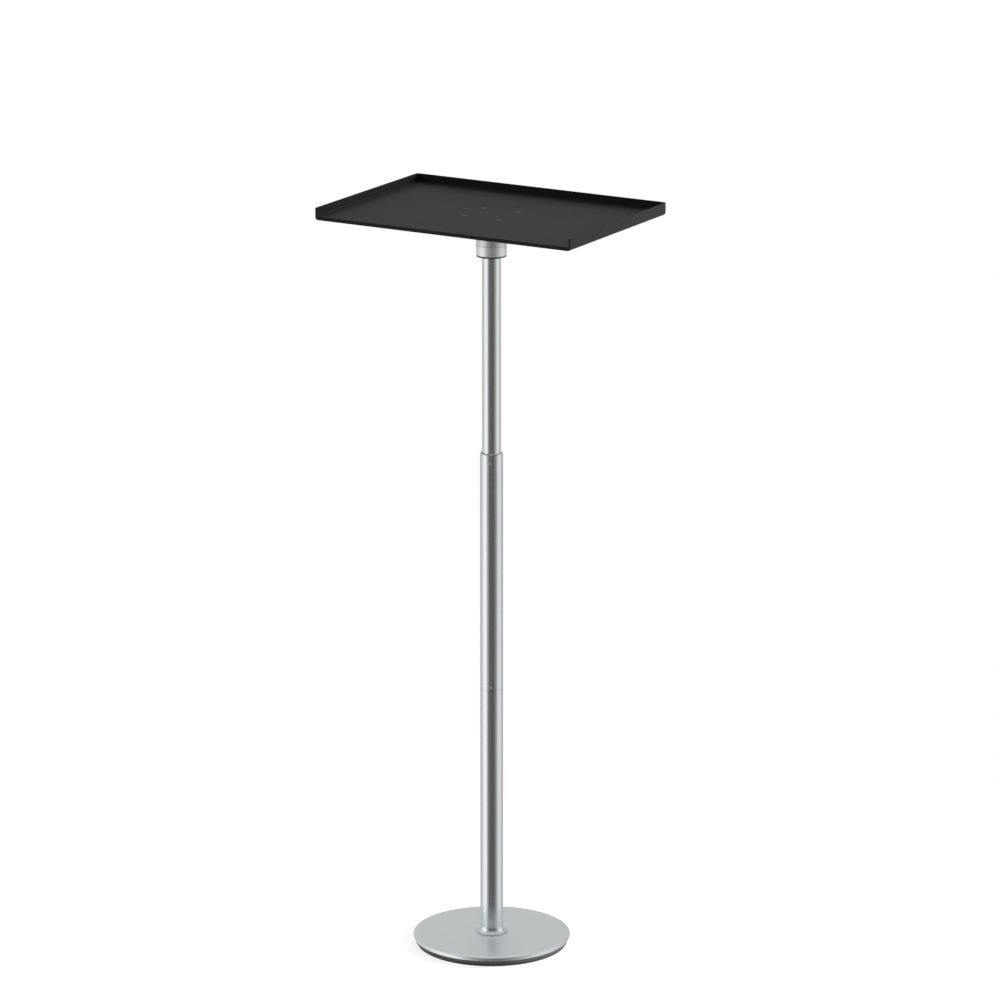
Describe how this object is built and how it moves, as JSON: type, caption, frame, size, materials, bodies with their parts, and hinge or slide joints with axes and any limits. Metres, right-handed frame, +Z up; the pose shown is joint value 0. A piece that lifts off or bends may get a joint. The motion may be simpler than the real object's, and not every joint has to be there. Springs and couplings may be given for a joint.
{
  "type": "portable projector stand",
  "caption": "Floor stand for a projector: a round weighted base, a telescopic tubular pole and a rectangular tray with raised lips and an open front that turns on the pole.",
  "frame": {"origin": "on the floor, under the pole's axis, at the middle of the base", "axes": "+Z up along the pole, -Y towards the tray's open front, +X to the right seen from the front"},
  "size_m": [0.397, 0.27, 1.0589],
  "materials": {
    "black_rubber": "matt moulded rubber",
    "dark_iron": "dark grey paint on cast iron, satin",
    "satin_silver": "fine bead-blasted and anodised, satin silver grey",
    "zinc_steel": "bright zinc plated",
    "plain_aluminium": "plain turned",
    "tube_aluminium": "drawn and anodised, satin, with fine lengthwise lines",
    "black_plastic": "matt moulded",
    "matt_silver": "matt warm silver",
    "textured_black": "moulded black plastic with a fine matt texture",
    "black_steel": "black oxide"
  },
  "bodies": {
    "stand_base": {"base_pad": "black_rubber", "base_weight": "dark_iron", "base_cover": "satin_silver", "base_washer": "zinc_steel", "base_bolt": "zinc_steel", "foot_ferrule": "satin_silver", "foot_insert": "plain_aluminium", "foot_set_screw": "zinc_steel", "lower_tube": "tube_aluminium", "tube_joiner": "plain_aluminium", "joiner_set_screw": "zinc_steel", "middle_tube": "tube_aluminium", "guide_bush": "black_plastic", "bush_set_screw": "zinc_steel"},
    "upper_pole": {"upper_tube": "tube_aluminium", "guide_shoe": "black_plastic", "head_plug": "plain_aluminium", "thrust_washer": "black_plastic", "swivel_bolt": "zinc_steel"},
    "tray_head": {"hub_bush": "black_plastic", "tray_hub": "matt_silver", "tray": "textured_black", "tray_screw_1": "black_steel", "tray_screw_2": "black_steel", "tray_screw_3": "black_steel", "tray_screw_4": "black_steel"}
  },
  "joints": [
    {"name": "pole_slide", "type": "slide", "parent": "stand_base", "child": "upper_pole", "axis": [0, 0, 1], "range_m": [-0.25, 0]},
    {"name": "tray_swivel", "type": "hinge", "parent": "upper_pole", "child": "tray_head", "pos_m": [0, 0, 1.0285], "axis": [0, 0, 1], "continuous": true}
  ]
}
